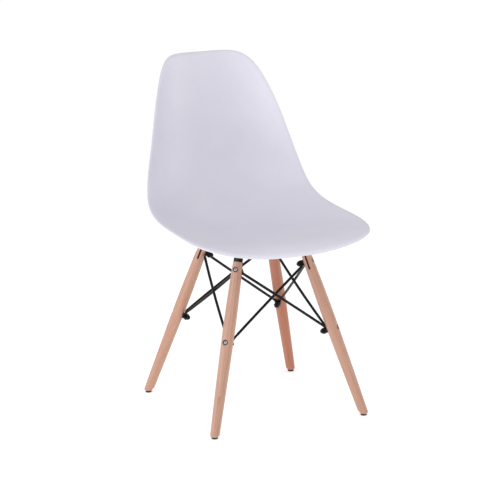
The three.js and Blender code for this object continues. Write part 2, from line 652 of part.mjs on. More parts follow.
// A round rod that ends in two flat eyes and bows gently by the given amount at its middle
function makeBrace(start, finish, bowDirection, bow) {
  const aim = new THREE.Vector3().subVectors(finish.centre, start.centre);
  const ends = [start, finish].map((end, i) => {
    const leave = aim.clone().multiplyScalar(i === 0 ? 1 : -1).projectOnPlane(end.normal).normalize();
    const knee = end.centre.clone().addScaledVector(leave, BRACE_FLAT_LENGTH + BRACE_BEND_LENGTH);
    return { ...end, leave, knee };
  });
  const span = new THREE.Vector3().subVectors(ends[1].knee, ends[0].knee);
  const spanDirection = span.clone().normalize();

  const round = [BRACE_DIAMETER / 2, BRACE_DIAMETER / 2];
  const flat = [BRACE_NECK_WIDTH / 2, BRACE_EYE_THICKNESS / 2 - BRACE_NECK_THINNER];
  const blend = (share) => flat.map((size, i) => THREE.MathUtils.lerp(size, round[i], share));
  const inEye = BOLT_HOLE_RADIUS + BRACE_NECK_START;

  const endStations = ends.map((end, i) => {
    const onward = spanDirection.clone().multiplyScalar(i === 0 ? 1 : -1);
    const bend = new THREE.QuadraticBezierCurve3(
      end.centre.clone().addScaledVector(end.leave, BRACE_FLAT_LENGTH),
      end.knee,
      end.knee.clone().addScaledVector(onward, BRACE_BEND_LENGTH),
    );
    const first = { at: end.centre.clone().addScaledVector(end.leave, inEye), size: flat };
    const bent = bend.getPoints(BRACE_BEND_STEPS)
      .map((at, step) => ({ at, size: blend(step / BRACE_BEND_STEPS) }));
    return [first, ...bent].map((station) => ({ ...station, normal: end.normal }));
  });

  const between = [];
  const from = endStations[0].at(-1).at;
  const to = endStations[1].at(-1).at;
  for (let step = 1; step < BRACE_SPAN_STEPS; step += 1) {
    const share = step / BRACE_SPAN_STEPS;
    const at = from.clone().lerp(to, share).addScaledVector(bowDirection, bow * 4 * share * (1 - share));
    const normal = start.normal.clone().lerp(finish.normal, share);
    between.push({ at, size: round, normal });
  }

  const stations = [...endStations[0], ...between, ...endStations[1].reverse()];
  const rings = stations.map((station, i) => {
    const before = stations[Math.max(i - 1, 0)].at;
    const after = stations[Math.min(i + 1, stations.length - 1)].at;
    const tangent = after.clone().sub(before).normalize();
    const thick = station.normal.clone().projectOnPlane(tangent).normalize();
    const wide = new THREE.Vector3().crossVectors(thick, tangent);
    return Array.from({ length: BRACE_SIDES }, (_, side) => {
      const angle = (side / BRACE_SIDES) * 2 * Math.PI;
      return station.at.clone()
        .addScaledVector(wide, station.size[0] * Math.cos(angle))
        .addScaledVector(thick, station.size[1] * Math.sin(angle));
    });
  });

  const turnTo = (normal) => new THREE.Matrix4().makeRotationFromQuaternion(
    new THREE.Quaternion().setFromUnitVectors(new THREE.Vector3(0, 0, 1), normal),
  );
  const half = BRACE_EYE_THICKNESS / 2;
  const eyes = ends.map((end) => cylinder(BRACE_EYE_DIAMETER / 2, -half, half)
    .applyMatrix4(turnTo(end.normal))
    .translate(...end.centre.toArray()));
  const holes = ends.map((end) => cylinder(BOLT_HOLE_RADIUS, -2 * half, 2 * half, HOLE_SIDES)
    .applyMatrix4(turnTo(end.normal))
    .translate(...end.centre.toArray()));
  return cut(join(loft(rings), ...eyes), ...holes);
}

// A straight rod between two brackets, mitred to their inner faces
function makeFrameRod(legA, legB) {
  const radius = FRAME_ROD_DIAMETER / 2;
  const height = TAB_TOP - FRAME_ROD_BELOW_TAB;
  const onFace = -(BRACKET_THICKNESS / 2 + CLEARANCE); // in a leg's own frame
  const ends = [[legA, legB], [legB, legA]].map(([leg, other]) => {
    const sideways = new THREE.Vector3(-leg.outwards.y, leg.outwards.x, 0).normalize();
    const towards = Math.sign(sideways.dot(other.foot.clone().sub(leg.foot)));
    return leg.foot.clone()
      .addScaledVector(leg.outwards, onFace)
      .addScaledVector(leg.upwards, (height - onFace * leg.outwards.z) / leg.upwards.z)
      .addScaledVector(sideways, towards * FRAME_ROD_OFFSET);
  });
  const along = ends[1].clone().sub(ends[0]).normalize();
  const reach = along.clone().multiplyScalar(2 * FRAME_ROD_DIAMETER);
  const path = new THREE.LineCurve3(ends[0].clone().sub(reach), ends[1].clone().add(reach));
  const section = new THREE.Shape().absarc(0, 0, radius, 0, 2 * Math.PI, false);
  const rod = new THREE.ExtrudeGeometry(section, { steps: 1, curveSegments: 12, extrudePath: path });
  const depth = 6 * FRAME_ROD_DIAMETER; // of the blocks that trim the ends, well past the rod's own ends
  const offcuts = [legA, legB].map((leg) => {
    const low = new THREE.Vector3(onFace, -depth, 0);
    const high = new THREE.Vector3(onFace + depth, depth, 2 * height);
    return box(low, high).applyMatrix4(leg.matrix);
  });
  return cut(rod, ...offcuts);
}

// ---------------------------------------------------------------------------------------------------
// Assembly
// ---------------------------------------------------------------------------------------------------

const chair = new THREE.Group();

function place(name, geometry, material, parent = chair) {
  const mesh = new THREE.Mesh(geometry, material);
  mesh.name = name;
  parent.add(mesh);
  return mesh;
}

// The four legs' places, going round the chair
const legs = [
  { name: 'front_right', x: -1, y: -1 },
  { name: 'front_left', x: 1, y: -1 },
  { name: 'rear_left', x: 1, y: 1 },
  { name: 'rear_right', x: -1, y: 1 },
].map(({ name, x, y }) => {
  const foot = new THREE.Vector3(x * LEG_FOOT_HALF_SPACING_X, y * LEG_FOOT_HALF_SPACING_Y, 0);
  const top = new THREE.Vector3(x * LEG_TOP_HALF_SPACING_X, y * LEG_TOP_HALF_SPACING_Y, LEG_TOP_HEIGHT);
  const upwards = top.clone().sub(foot).normalize();
  const level = new THREE.Vector3(x * LEG_LEAN_OUT.x, y * LEG_LEAN_OUT.y, 0).normalize();
  const outwards = level.projectOnPlane(upwards).normalize();
  const sideways = new THREE.Vector3().crossVectors(upwards, outwards);
  const matrix = new THREE.Matrix4().makeBasis(outwards, sideways, upwards).setPosition(foot);
  return { name, foot, upwards, outwards, matrix };
});

place('seat_shell', shellBody(0, SHELL_WALL), shellPlastic);

const shellKeepOut = shellBody(MOUNT_LARGEST_HEIGHT, SHELL_WALL + CLEARANCE);
for (const leg of legs) {
  const group = new THREE.Group();
  leg.matrix.decompose(group.position, group.quaternion, group.scale);
  chair.add(group);
  place(`leg_${leg.name}`, makeLeg(), beech, group);
  place(`foot_glide_${leg.name}`, makeGlide(), blackPlastic, group);
  place(`leg_bracket_${leg.name}`, makeBracket(), blackSteel, group);
  place(`seat_mount_${leg.name}`, makeMount(leg.matrix, shellKeepOut), blackRubber, group);
  place(`mount_insert_${leg.name}`, makeInsert(), zincSteel, group);
  place(`seat_screw_${leg.name}`, makeSeatScrew(), zincSteel, group);
  place(`seat_washer_${leg.name}`, makeWasher(), zincSteel, group);
  for (const [level, up] of [['upper', UPPER_BOLT_UP], ['lower', LOWER_BOLT_UP]]) {
    place(`${level}_bolt_${leg.name}`, makeLegBolt(up), zincSteel, group);
    place(`${level}_cap_nut_${leg.name}`, makeCapNut(up), blackSteel, group);
  }
}

['front', 'left', 'rear', 'right'].forEach((side, i) => {
  const [legA, legB] = [legs[i], legs[(i + 1) % legs.length]];
  place(`frame_rod_${side}`, makeFrameRod(legA, legB), blackSteel);

  const outer = [braceEnd(legA, UPPER_BOLT_UP, 0), braceEnd(legB, LOWER_BOLT_UP, 0)];
  const inner = [braceEnd(legB, UPPER_BOLT_UP, 1), braceEnd(legA, LOWER_BOLT_UP, 1)];
  const run = ([from, to]) => to.centre.clone().sub(from.centre).normalize();
  const outwards = run(outer).cross(run(inner)).normalize();
  outwards.multiplyScalar(Math.sign(outwards.dot(legA.outwards)));
  const apart = EYE_PITCH * outwards.dot(legA.outwards);
  const bow = Math.max(0, (BRACE_DIAMETER + BRACE_CROSSING_GAP - apart) / 2);
  place(`brace_${side}_outer`, makeBrace(...outer, outwards, bow), blackSteel);
  place(`brace_${side}_inner`, makeBrace(...inner, outwards, -bow), blackSteel);
});

const extent = new THREE.Box3().setFromObject(chair);
chair.position.y = -(extent.min.y + extent.max.y) / 2;

export default chair;
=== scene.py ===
"""Dining chair: the finished looks of a moulded shell seat on four turned beech legs, with black steel
brackets, an upper frame of rods and crossed braces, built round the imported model. Metres, in the row frame:
+Z up, the chair faces -Y and +X is its own left.

A leg's own frame, in which its small pieces are modelled, has its origin where the leg's axis meets the
floor, +Z up the axis and +X outwards, square to it.
"""

import math

import bmesh
import bpy
from mathutils import Matrix, Vector


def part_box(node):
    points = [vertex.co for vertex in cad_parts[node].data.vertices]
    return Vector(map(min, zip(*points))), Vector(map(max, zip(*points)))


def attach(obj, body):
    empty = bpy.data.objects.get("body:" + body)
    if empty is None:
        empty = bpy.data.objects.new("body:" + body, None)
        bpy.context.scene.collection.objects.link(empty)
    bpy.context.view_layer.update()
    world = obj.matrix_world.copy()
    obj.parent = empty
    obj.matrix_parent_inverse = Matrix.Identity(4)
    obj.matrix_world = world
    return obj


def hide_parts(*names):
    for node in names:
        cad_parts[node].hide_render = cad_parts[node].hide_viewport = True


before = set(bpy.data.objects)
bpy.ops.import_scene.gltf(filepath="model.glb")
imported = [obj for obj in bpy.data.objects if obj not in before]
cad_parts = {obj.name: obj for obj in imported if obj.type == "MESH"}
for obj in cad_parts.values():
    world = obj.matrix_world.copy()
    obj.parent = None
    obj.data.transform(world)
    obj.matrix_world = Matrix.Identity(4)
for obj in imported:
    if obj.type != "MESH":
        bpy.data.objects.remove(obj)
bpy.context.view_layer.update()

MM = 0.001
CLEARANCE = 0.3 * MM
CORNERS = ("front_right", "front_left", "rear_left", "rear_right")
SIDES = {
    "front": ("front_right", "front_left"),
    "left": ("front_left", "rear_left"),
    "rear": ("rear_left", "rear_right"),
    "right": ("rear_right", "front_right"),
}

# ----------------------------------------------------------------------------------------------------------
# Camera
# ----------------------------------------------------------------------------------------------------------

CAMERA_AZIMUTH = -25.72  # degrees; 0 looks along +Y
CAMERA_ELEVATION = 14.35
CAMERA_DISTANCE = 5.364
CAMERA_LENS = 168.6  # millimetres
CAMERA_SENSOR_WIDTH = 36  # millimetres
CAMERA_SEES_TO = 60
CAMERA_AIM_ASIDE = -0.039  # from the middle of the legs
CAMERA_AIM_HEIGHT = 0.415


def feet_middle():
    """The middle of the four feet, on the floor."""
    boxes = [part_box(f"foot_glide_{corner}") for corner in CORNERS]
    middle = sum((low + high for low, high in boxes), Vector()) / (2 * len(boxes))
    return Vector((middle.x, middle.y, 0))


def add_camera():
    azimuth, elevation = math.radians(CAMERA_AZIMUTH), math.radians(CAMERA_ELEVATION)
    level = math.cos(elevation)
    back = Vector((math.sin(azimuth) * level, -math.cos(azimuth) * level, math.sin(elevation)))
    aim = feet_middle() + Vector((CAMERA_AIM_ASIDE, 0, CAMERA_AIM_HEIGHT))
    bpy.ops.object.camera_add(location=aim + back * CAMERA_DISTANCE)
    camera = bpy.context.object
    camera.rotation_euler = back.to_track_quat("Z", "Y").to_euler()
    camera.data.lens = CAMERA_LENS
    camera.data.sensor_width = CAMERA_SENSOR_WIDTH
    camera.data.clip_end = CAMERA_SEES_TO
    bpy.context.scene.camera = camera


add_camera()

# ----------------------------------------------------------------------------------------------------------
# Nodes and colours
# ----------------------------------------------------------------------------------------------------------


def linear(hex_colour):
    """An sRGB hex colour such as "d9d7e0" as linear RGBA."""
    channels = [int(hex_colour[i : i + 2], 16) / 255 for i in (0, 2, 4)]
    return [c / 12.92 if c <= 0.04045 else ((c + 0.055) / 1.055) ** 2.4 for c in channels] + [1.0]


def new_material(name):
    """A new material with an empty tree and its Principled shader."""
    material = bpy.data.materials.new(name)
    material.use_nodes = True
    tree = material.node_tree
    return material, tree, tree.nodes["Principled BSDF"]


def add_node(tree, kind, inputs=None, **settings):
    """A node with its settings; each input is a value, or an output socket to link."""
    made = tree.nodes.new(kind)
    for key, value in settings.items():
        setattr(made, key, value)
    for key, value in (inputs or {}).items():
        if isinstance(value, bpy.types.NodeSocket):
            tree.links.new(value, made.inputs[key])
        else:
            made.inputs[key].default_value = value
    return made


def colour_ramp(tree, share, stops):
    """Colours or greys along a share from 0 to 1; each stop is (place, colour)."""
    ramp = add_node(tree, "ShaderNodeValToRGB", {"Fac": share})
    elements = ramp.color_ramp.elements
    while len(elements) < len(stops):
        elements.new(0.5)
    for element, (place, colour) in zip(elements, stops):
        element.position = place
        element.color = linear(colour) if isinstance(colour, str) else [colour] * 3 + [1.0]
    return ramp.outputs["Color"]


def add_bump(tree, shader, height, depth, strength=1.0):
    """A relief of that depth in metres on the shader's normal."""
    bump = add_node(tree, "ShaderNodeBump", {"Height": height, "Distance": depth, "Strength": strength})
    tree.links.new(bump.outputs["Normal"], shader.inputs["Normal"])


def noise(tree, place, size, detail, output="Fac"):
    """A noise with features about that size, in metres: one share from 0 to 1, or with "Color" three."""
    inputs = {"Vector": place, "Scale": 1 / size, "Detail": detail}
    return add_node(tree, "ShaderNodeTexNoise", inputs).outputs[output]


def mix_colours(tree, share, first, second, blend="MIX"):
    inputs = {0: share, 6: first, 7: second}
    return add_node(tree, "ShaderNodeMix", inputs, data_type="RGBA", blend_type=blend).outputs[2]


def stretched(tree, place, squeeze):
    """The place with its Z scaled down, so that a pattern on it runs longer along Z."""
    inputs = {"Vector": place, "Scale": (1, 1, squeeze)}
    return add_node(tree, "ShaderNodeMapping", inputs).outputs["Vector"]


def object_place(tree):
    return add_node(tree, "ShaderNodeTexCoord").outputs["Object"]


def set_surface(tree, shader, colour, roughness):
    tree.links.new(colour, shader.inputs["Base Color"])
    tree.links.new(roughness, shader.inputs["Roughness"])


# ----------------------------------------------------------------------------------------------------------
# Materials
# ----------------------------------------------------------------------------------------------------------


def moulded_polypropylene():
    """Injection-moulded polypropylene with a fine spark-eroded grain, an even satin."""
    material, tree, shader = new_material("moulded_polypropylene")
    place = object_place(tree)
    clouds = noise(tree, place, 110 * MM, 3.0)
    grain = noise(tree, place, 1.0 * MM, 2.0)  # the true grain, of 0.3 mm, would be lost at this distance
    colour = colour_ramp(tree, clouds, [(0.3, "dedce8"), (0.7, "e3e1ec")])
    satin = colour_ramp(tree, clouds, [(0.3, 0.40), (0.7, 0.46)])
    set_surface(tree, shader, colour, satin)
    shader.inputs["IOR"].default_value = 1.49
    add_bump(tree, shader, grain, 0.05 * MM, 0.25)
    return material


BEECH_RING_WIDTH = 3.2 * MM
BEECH_SWAY = 9 * MM  # from one side to the other


def beech_rings(tree, plank):
    """The year rings, from 0 to 1 across each, swaying slowly on their way up the plank."""
    sway = noise(tree, stretched(tree, plank, 0.12), 22 * MM, 2.0, "Color")
    off_centre = add_node(tree, "ShaderNodeVectorMath", {0: sway, 1: (0.5, 0.5, 0.5)}, operation="SUBTRACT")
    swayed = add_node(
        tree,
        "ShaderNodeVectorMath",
        {0: off_centre.outputs[0], 1: (BEECH_SWAY, BEECH_SWAY, 0), 2: plank},
        operation="MULTIPLY_ADD",
    )
    rings = add_node(
        tree,
        "ShaderNodeTexWave",
        {"Vector": swayed.outputs[0], "Scale": 2 * math.pi / (20 * BEECH_RING_WIDTH)},
        wave_type="RINGS",
        rings_direction="Z",
        wave_profile="SAW",
    )
    return rings.outputs["Fac"]


def lacquered_beech(leg):
    """Steamed beech, turned and finished in clear satin lacquer: pinkish wood with fine rings that run up the
    leg, streaks and short dark ray flecks. The pattern follows the leg's own axis."""
    material, tree, shader = new_material(f"lacquered_beech_{leg.name}")
    turned = add_node(
        tree,
        "ShaderNodeMapping",
        {"Vector": object_place(tree), "Location": leg.matrix.translation, "Rotation": leg.matrix.to_euler()},
        vector_type="TEXTURE",
    ).outputs["Vector"]
    # each leg is cut from another place in the plank
    plank_inputs = {"Vector": turned, "Location": leg.plank_place}
    plank = add_node(tree, "ShaderNodeMapping", plank_inputs).outputs["Vector"]

    rings = beech_rings(tree, plank)
    along_fibres = stretched(tree, plank, 0.035)
    fibres = noise(tree, along_fibres, 0.7 * MM, 3.0)
    bands = noise(tree, along_fibres, 5 * MM, 2.0)
    fleck_inputs = {"Vector": stretched(tree, plank, 0.22), "Scale": 1 / (1.5 * MM), "Randomness": 1.0}
    flecks = add_node(tree, "ShaderNodeTexVoronoi", fleck_inputs).outputs["Distance"]

    ring_stops = [(0.0, "d2a58c"), (0.72, "ca987f"), (0.97, "b37f65"), (1.0, "d2a58c")]
    ring_colour = colour_ramp(tree, rings, ring_stops)
    band_colour = colour_ramp(tree, bands, [(0.3, "c08d74"), (0.7, "d6ad97")])
    fibre_tint = colour_ramp(tree, fibres, [(0.3, 0.86), (0.62, 1.0)])
    fleck_tint = colour_ramp(tree, flecks, [(0.10, 0.62), (0.2, 1.0)])
    colour = mix_colours(tree, 0.5, ring_colour, band_colour)
    colour = mix_colours(tree, 0.75, colour, fibre_tint, "MULTIPLY")
    colour = mix_colours(tree, 0.7, colour, fleck_tint, "MULTIPLY")
    # the leg's tone multiplies the wood colour; the rear left leg's darker, redder tone is painted shade, the
    # shade that leg stands in under the seat
    colour = mix_colours(tree, 1.0, colour, linear(leg.tone_with_painted_shade), "MULTIPLY")
    satin = colour_ramp(tree, fibres, [(0.3, 0.50), (0.7, 0.40)])
    set_surface(tree, shader, colour, satin)
    shader.inputs["IOR"].default_value = 1.5
    shader.inputs["Coat Weight"].default_value = 0.25
    shader.inputs["Coat Roughness"].default_value = 0.22
    add_bump(tree, shader, fibres, 0.06 * MM, 0.3)
    return material


def powder_coated_steel():
    """Steel under black polyester powder coat: a soft semi-gloss with a slight orange peel."""
    material, tree, shader = new_material("powder_coated_steel")
    place = object_place(tree)
    peel = noise(tree, place, 1.4 * MM, 1.5)
    drift = noise(tree, place, 30 * MM, 3.0)
    colour = colour_ramp(tree, drift, [(0.3, "060607"), (0.7, "0b0b0c")])
    gloss = colour_ramp(tree, drift, [(0.3, 0.26), (0.7, 0.34)])
    set_surface(tree, shader, colour, gloss)
    shader.inputs["IOR"].default_value = 1.52
    shader.inputs["Specular IOR Level"].default_value = 0.2
    add_bump(tree, shader, peel, 0.05 * MM, 0.35)
    return material


def black_zinc():
    """Black zinc plate on the cap nuts: nearly black, with a dark metallic sheen."""
    material, tree, shader = new_material("black_zinc_plate")
    drift = noise(tree, object_place(tree), 4 * MM, 4.0)
    colour = colour_ramp(tree, drift, [(0.3, "161518"), (0.7, "222124")])
    gloss = colour_ramp(tree, drift, [(0.3, 0.26), (0.7, 0.40)])
    set_surface(tree, shader, colour, gloss)
    shader.inputs["Metallic"].default_value = 0.7
    add_bump(tree, shader, drift, 0.02 * MM, 0.3)
    return material


def bright_zinc():
    """Bright zinc plate on the bolts, screws, washers and inserts: silver with a faint uneven bloom."""
    material, tree, shader = new_material("bright_zinc_plate")
    bloom = noise(tree, object_place(tree), 3 * MM, 5.0)
    colour = colour_ramp(tree, bloom, [(0.3, "8e9094"), (0.7, "a6a6a8")])
    gloss = colour_ramp(tree, bloom, [(0.3, 0.20), (0.7, 0.36)])
    set_surface(tree, shader, colour, gloss)
    shader.inputs["Metallic"].default_value = 1.0
    add_bump(tree, shader, bloom, 0.01 * MM, 0.3)
    return material


def moulded_nylon():
    """Black moulded nylon of the foot glides, scuffed matt where it slides."""
    material, tree, shader = new_material("moulded_nylon")
    scuffs = noise(tree, object_place(tree), 1.2 * MM, 6.0)
    colour = colour_ramp(tree, scuffs, [(0.35, "121214"), (0.75, "232326")])
    gloss = colour_ramp(tree, scuffs, [(0.3, 0.45), (0.7, 0.65)])
    set_surface(tree, shader, colour, gloss)
    shader.inputs["IOR"].default_value = 1.53
    add_bump(tree, shader, scuffs, 0.05 * MM, 0.3)
    return material


def moulded_rubber():
    """Black moulded rubber of the seat mounts: dull, with a dusty bloom."""
    material, tree, shader = new_material("moulded_rubber")
    bloom = noise(tree, object_place(tree), 5 * MM, 5.0)
    colour = colour_ramp(tree, bloom, [(0.3, "1a1a1a"), (0.75, "2a2a29")])
    gloss = colour_ramp(tree, bloom, [(0.3, 0.74), (0.7, 0.90)])
    set_surface(tree, shader, colour, gloss)
    shader.inputs["IOR"].default_value = 1.52
    add_bump(tree, shader, bloom, 0.08 * MM, 0.3)
    return material


# ----------------------------------------------------------------------------------------------------------
# Modelling
# ----------------------------------------------------------------------------------------------------------


def pick(*pieces):
    """Makes these the selected objects, the first one active."""
    bpy.ops.object.select_all(action="DESELECT")
    for piece in pieces:
        piece.select_set(True)
    bpy.context.view_layer.objects.active = pieces[0]


def edit(piece):
    pick(piece)
    bpy.ops.object.mode_set(mode="EDIT")


def leave_edit():
    bpy.ops.object.mode_set(mode="OBJECT")


def select_points(piece, test):
    """In edit mode, selects the vertices that pass the test, with the edges and faces between them."""
    mesh = bmesh.from_edit_mesh(piece.data)
    mesh.verts.ensure_lookup_table()
    bpy.ops.mesh.select_all(action="DESELECT")
    for vertex in mesh.verts:
        vertex.select = test(vertex)
    mesh.select_flush(True)
    bmesh.update_edit_mesh(piece.data)


def turn_selected(angle, axis, centre):
    """Turns the selection right-handed about an axis; with no window the operator turns the other way."""
    bpy.ops.transform.rotate(value=-angle, orient_axis=axis, center_override=centre)


def clean(piece):
    """Merges doubled points and turns all faces outwards."""
    edit(piece)
    bpy.ops.mesh.select_all(action="SELECT")
    bpy.ops.mesh.remove_doubles(threshold=1e-6)
    bpy.ops.mesh.normals_make_consistent(inside=False)
    leave_edit()


def draw_outline(points):
    """A new object whose edges join the points in turn."""
    bpy.ops.object.select_all(action="DESELECT")
    bpy.ops.mesh.primitive_plane_add(size=MM)
    bpy.ops.object.mode_set(mode="EDIT")
    bpy.ops.mesh.merge(type="CENTER")
    bpy.ops.transform.translate(value=points[0])
    for here, onward in zip(points, points[1:]):
        step = Vector(onward) - Vector(here)
        bpy.ops.mesh.extrude_vertices_move(TRANSFORM_OT_translate={"value": step})
    return bpy.context.object


def lathe(outline, sides=48):
    """A solid turned about +Z from (radius, height) points, from the bottom of its axis to the top."""
    piece = draw_outline([(radius, 0, height) for radius, height in outline])
    bpy.ops.mesh.select_all(action="SELECT")
    bpy.ops.mesh.spin(steps=sides, angle=2 * math.pi, center=(0, 0, 0), axis=(0, 0, 1))
    leave_edit()
    clean(piece)
    return piece


def apply_modifier(piece, kind, **settings):
    pick(piece)
    modifier = piece.modifiers.new(kind.lower(), kind)
    for key, value in settings.items():
        setattr(modifier, key, value)
    bpy.ops.object.modifier_apply(modifier=modifier.name)


def remove(piece):
    mesh = piece.data
    bpy.data.objects.remove(piece)
    bpy.data.meshes.remove(mesh)


def carve(piece, *cutters, operation="DIFFERENCE"):
    for cutter in cutters:
        apply_modifier(piece, "BOOLEAN", object=cutter, operation=operation, solver="EXACT")
        remove(cutter)


def soften(piece, width, sharper_than=35, segments=2):
    """Rounds the edges that are sharper than that many degrees, and shades the rest smooth."""
    apply_modifier(
        piece,
        "BEVEL",
        width=width,
        segments=segments,
        limit_method="ANGLE",
        angle_limit=math.radians(sharper_than),
        harden_normals=False,
    )
    pick(piece)
    bpy.ops.object.shade_smooth_by_angle(angle=math.radians(sharper_than))


def smooth(piece, sharper_than):
    """Shades a piece smooth but for the edges that turn by more than that many degrees."""
    pick(piece)
    bpy.ops.object.shade_smooth_by_angle(angle=math.radians(sharper_than))


def moved(piece, matrix):
    """Puts that transform into the piece's mesh."""
    piece.matrix_world = matrix
    pick(piece)
    bpy.ops.object.transform_apply(location=True, rotation=True, scale=True)
    return piece


def copied(piece):
    copy = piece.copy()
    copy.data = piece.data.copy()
    bpy.context.scene.collection.objects.link(copy)
    return copy


def rod_cutter(radius, low, high, sides=32):
    """A cylinder about +Z between two heights, for boring holes."""
    bpy.ops.object.select_all(action="DESELECT")
    bpy.ops.mesh.primitive_cylinder_add(
        vertices=sides, radius=radius, depth=high - low, location=(0, 0, (low + high) / 2)
    )
    cutter = bpy.context.object
    bpy.ops.object.transform_apply(location=True, rotation=True, scale=True)
    return cutter


def box_cutter(low, high):
    low, high = Vector(low), Vector(high)
    bpy.ops.object.select_all(action="DESELECT")
    bpy.ops.mesh.primitive_cube_add(size=1, location=(low + high) / 2, scale=high - low)
    cutter = bpy.context.object
    bpy.ops.object.transform_apply(location=True, rotation=True, scale=True)
    return cutter


def arc(centre, radius, start, end, steps=6):
    """Points on a round corner, from one angle to another in degrees."""
    angles = [math.radians(start + (end - start) * step / steps) for step in range(steps + 1)]
    return [(centre[0] + radius * math.cos(a), centre[1] + radius * math.sin(a)) for a in angles]


POINT_OUT = Matrix.Rotation(math.pi / 2, 4, "Y")  # turns a piece made about +Z to point along +X
POINT_IN = Matrix.Rotation(-math.pi / 2, 4, "Y")


def finish_piece(piece, name, material, slot, *nodes):
    """Names a finished piece, gives it its material, and lets it stand for its CAD nodes."""
    piece.name = piece.data.name = name
    piece.data.materials.clear()
    piece.data.materials.append(material)
    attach(piece, "root")
    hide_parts(*nodes)
    return piece


# ----------------------------------------------------------------------------------------------------------
# The legs' places, from the frame
# ----------------------------------------------------------------------------------------------------------


def corner_points(node):
    """A CAD node's corners, each one once."""
    rounded = {tuple(round(c, 6) for c in v.co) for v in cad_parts[node].data.vertices}
    return [Vector(point) for point in sorted(rounded)]


def middle_of(node):
    points = corner_points(node)
    return sum(points, Vector()) / len(points)


class Leg:
    """A leg's frame, where its pieces sit in it, and the wood it is cut from, with its tone; on the rear left
    leg that tone is darkened as painted shade.
    """

    def __init__(self, corner, plank_place, tone_with_painted_shade):
        self.name = corner
        self.plank_place = plank_place
        self.tone_with_painted_shade = tone_with_painted_shade
        upper_nut = middle_of(f"upper_cap_nut_{corner}")
        self.outwards = (middle_of(f"upper_bolt_{corner}") - upper_nut).normalized()
        climb = upper_nut - middle_of(f"lower_cap_nut_{corner}")
        self.upwards = (climb - climb.project(self.outwards)).normalized()
        low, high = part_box(f"foot_glide_{corner}")
        self.foot_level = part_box(f"leg_{corner}")[0].z
        on_axis = Vector(((low.x + high.x) / 2, (low.y + high.y) / 2, self.foot_level))
        foot = on_axis - self.upwards * (on_axis.z / self.upwards.z)
        sideways = self.upwards.cross(self.outwards)
        turn = Matrix((self.outwards, sideways, self.upwards)).transposed()
        self.matrix = Matrix.Translation(foot) @ turn.to_4x4()
        self.lean = self.upwards.angle(Vector((0, 0, 1)))

    def box(self, node):
        """A node's lowest and highest corner in the leg's frame."""
        inverse = self.matrix.inverted()
        points = [inverse @ point for point in corner_points(node)]
        low, high = [Vector([limit(p[i] for p in points) for i in range(3)]) for limit in (min, max)]
        return low, high


# the legs' wood tones differ a little, as beech does, but the rear left leg's darker, redder tone is painted
# shade from under the seat
legs = {
    corner: Leg(corner, Vector(plank_place) * MM, tone_with_painted_shade)
    for corner, plank_place, tone_with_painted_shade in (
        ("front_right", (46, 14, 0), "f4f4f6"),
        ("front_left", (-38, 30, 700), "f6f4f4"),
        ("rear_left", (22, -44, 1500), "e4bca8"),
        ("rear_right", (-52, -18, 2300), "f6f2f0"),
    )
}
model = legs["front_right"]  # the leg on whose sizes the shared pieces are made

# ----------------------------------------------------------------------------------------------------------
# Seat shell
# ----------------------------------------------------------------------------------------------------------


def make_shell():
    """The CAD shell's own facets, joined to quads and rounded to one smooth skin."""
    shell = copied(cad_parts["seat_shell"])
    shell.parent = None
    for key in list(shell.keys()):
        del shell[key]
    edit(shell)
    bpy.ops.mesh.select_all(action="SELECT")
    bpy.ops.mesh.remove_doubles(threshold=0.01 * MM)
    bpy.ops.mesh.tris_convert_to_quads(face_threshold=math.pi, shape_threshold=math.pi)
    bpy.ops.mesh.customdata_custom_splitnormals_clear()
    leave_edit()
    apply_modifier(shell, "SUBSURF", levels=2, render_levels=2)
    pick(shell)
    bpy.ops.object.shade_smooth()
    return shell


# ----------------------------------------------------------------------------------------------------------
# Leg
# ----------------------------------------------------------------------------------------------------------

LEG_SIDES = 64
LEG_RINGS = 9  # between two of the sizes below
LEG_FOOT_DIAMETER = 22 * MM
LEG_TOP_DIAMETER = 23.4 * MM
LEG_BELLY_DIAMETER = 29 * MM
LEG_SIZES = (  # diameter, height up the leg as a share of its length
    (LEG_FOOT_DIAMETER, 0.0),
    (26 * MM, 0.277),
    (LEG_BELLY_DIAMETER, 0.613),
    (26.4 * MM, 0.880),
    (LEG_TOP_DIAMETER, 1.0),
)
LEG_TOP_ROUNDING = 1.4 * MM
FOOT_CHAMFER_DEGREES = 50
FOOT_END_DIAMETER = 16.6 * MM
LEG_EDGE_ROUNDING = 0.45 * MM
COUNTERBORE_DIAMETER = 14 * MM
BOLT_HOLE_DIAMETER = 6.6 * MM
BOLT_HEAD_DIAMETER = 10.5 * MM
BOLT_HEAD_HEIGHT = 3.3 * MM


def through(points, share):
    """A point on the smooth curve through the points, share running from 0 to 1."""
    spans = len(points) - 1
    span = min(int(share * spans), spans - 1)
    t = share * spans - span
    before, start, end, after = [Vector(points[min(max(span + i, 0), spans)]) for i in (-1, 0, 1, 2)]
    leave, arrive = (end - before) / 2, (after - start) / 2
    bend = 2 * (start - end) + leave + arrive
    sag = 3 * (end - start) - 2 * leave - arrive
    return start + leave * t + sag * t**2 + bend * t**3


